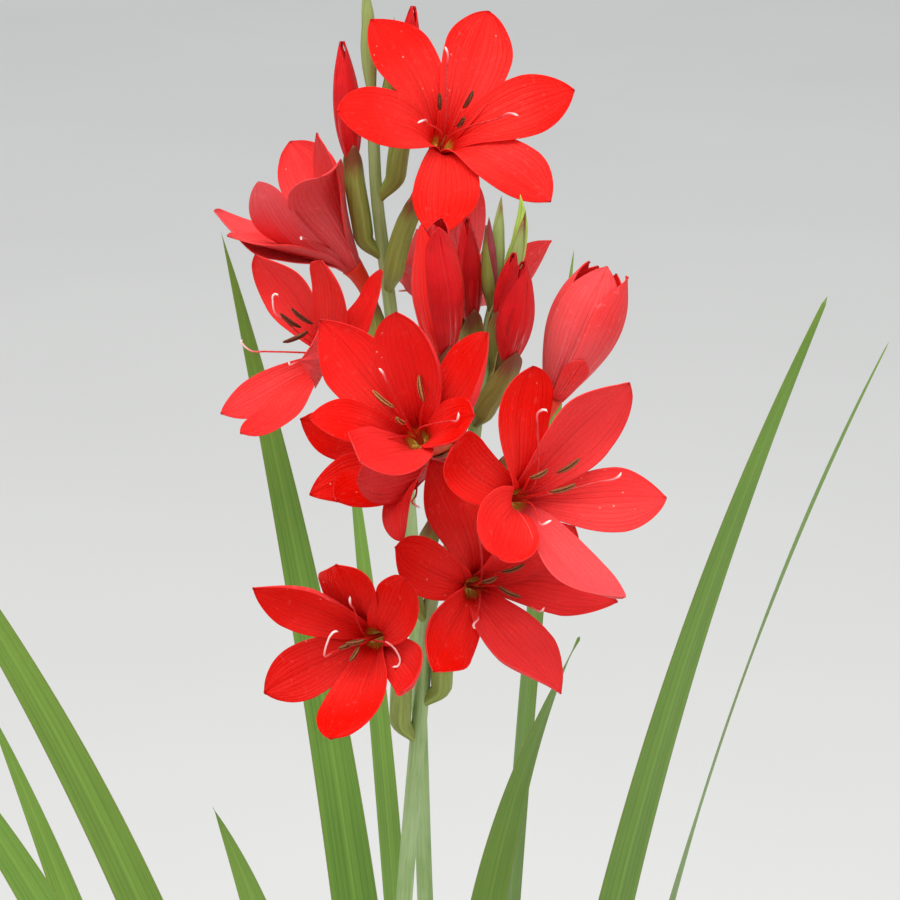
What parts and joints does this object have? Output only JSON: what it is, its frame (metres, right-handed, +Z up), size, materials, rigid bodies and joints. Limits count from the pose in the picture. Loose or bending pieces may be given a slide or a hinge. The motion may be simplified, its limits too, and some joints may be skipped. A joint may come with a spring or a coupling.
{
  "type": "potted crimson flag lily",
  "caption": "Clump of crimson flag lily with flower spikes of open scarlet stars, buds and sword leaves, in a plain round clay pot that stands on its flat base.",
  "frame": {"origin": "centre of the pot's flat underside", "axes": "+Z up along the pot's axis and the stems, -Y the side the lower flowers face, +X to the right of it"},
  "size_m": [0.3227, 0.3285, 0.662],
  "materials": {
    "clay": "fired clay, dry and slightly rough, with pale lime bloom",
    "soil": "moist crumbly potting soil",
    "stem": "smooth pale green with a waxy bloom",
    "tepal": "satin scarlet with fine darker veins along the tepals",
    "bud": "satin deep crimson with pale streaks",
    "spathe": "matt olive green with purple brown points",
    "leaf": "satin mid green with veins along the blade"
  },
  "bodies": {
    "root": {"pot": "clay", "soil": "soil", "front_stem": "stem", "back_stem": "stem", "front_flower_1": "tepal", "front_flower_2": "tepal", "front_flower_3": "tepal", "front_flower_4": "tepal", "front_flower_5": "tepal", "half_open_flower": "tepal", "back_flower_1": "tepal", "back_flower_2": "tepal", "back_flower_3": "tepal", "back_flower_4": "tepal", "front_flower_1_spathe": "spathe", "front_flower_2_spathe": "spathe", "front_flower_3_spathe": "spathe", "front_flower_4_spathe": "spathe", "front_flower_5_spathe": "spathe", "half_open_flower_spathe": "spathe", "back_flower_1_spathe": "spathe", "back_flower_2_spathe": "spathe", "back_flower_3_spathe": "spathe", "back_flower_4_spathe": "spathe", "front_bud_1": "bud", "front_bud_2": "bud", "front_bud_3": "bud", "front_bud_4": "bud", "back_bud_1": "bud", "back_bud_2": "bud", "front_bud_1_spathe": "spathe", "front_bud_2_spathe": "spathe", "front_bud_3_spathe": "spathe", "front_bud_4_spathe": "spathe", "back_bud_1_spathe": "spathe", "back_bud_2_spathe": "spathe", "front_tip_spathe_1": "spathe", "front_tip_spathe_2": "spathe", "front_tip_spathe_3": "spathe", "front_tip_spathe_4": "spathe", "back_tip_spathe_1": "spathe", "back_tip_spathe_2": "spathe", "leaf_1": "leaf", "leaf_2": "leaf", "leaf_3": "leaf", "leaf_4": "leaf", "leaf_5": "leaf", "leaf_6": "leaf", "leaf_7": "leaf", "leaf_8": "leaf", "leaf_9": "leaf", "leaf_10": "leaf", "leaf_11": "leaf", "leaf_12": "leaf", "leaf_13": "leaf", "leaf_14": "leaf", "leaf_15": "leaf", "leaf_16": "leaf", "front_stem_leaf": "leaf", "back_stem_leaf": "leaf"}
  },
  "joints": []
}
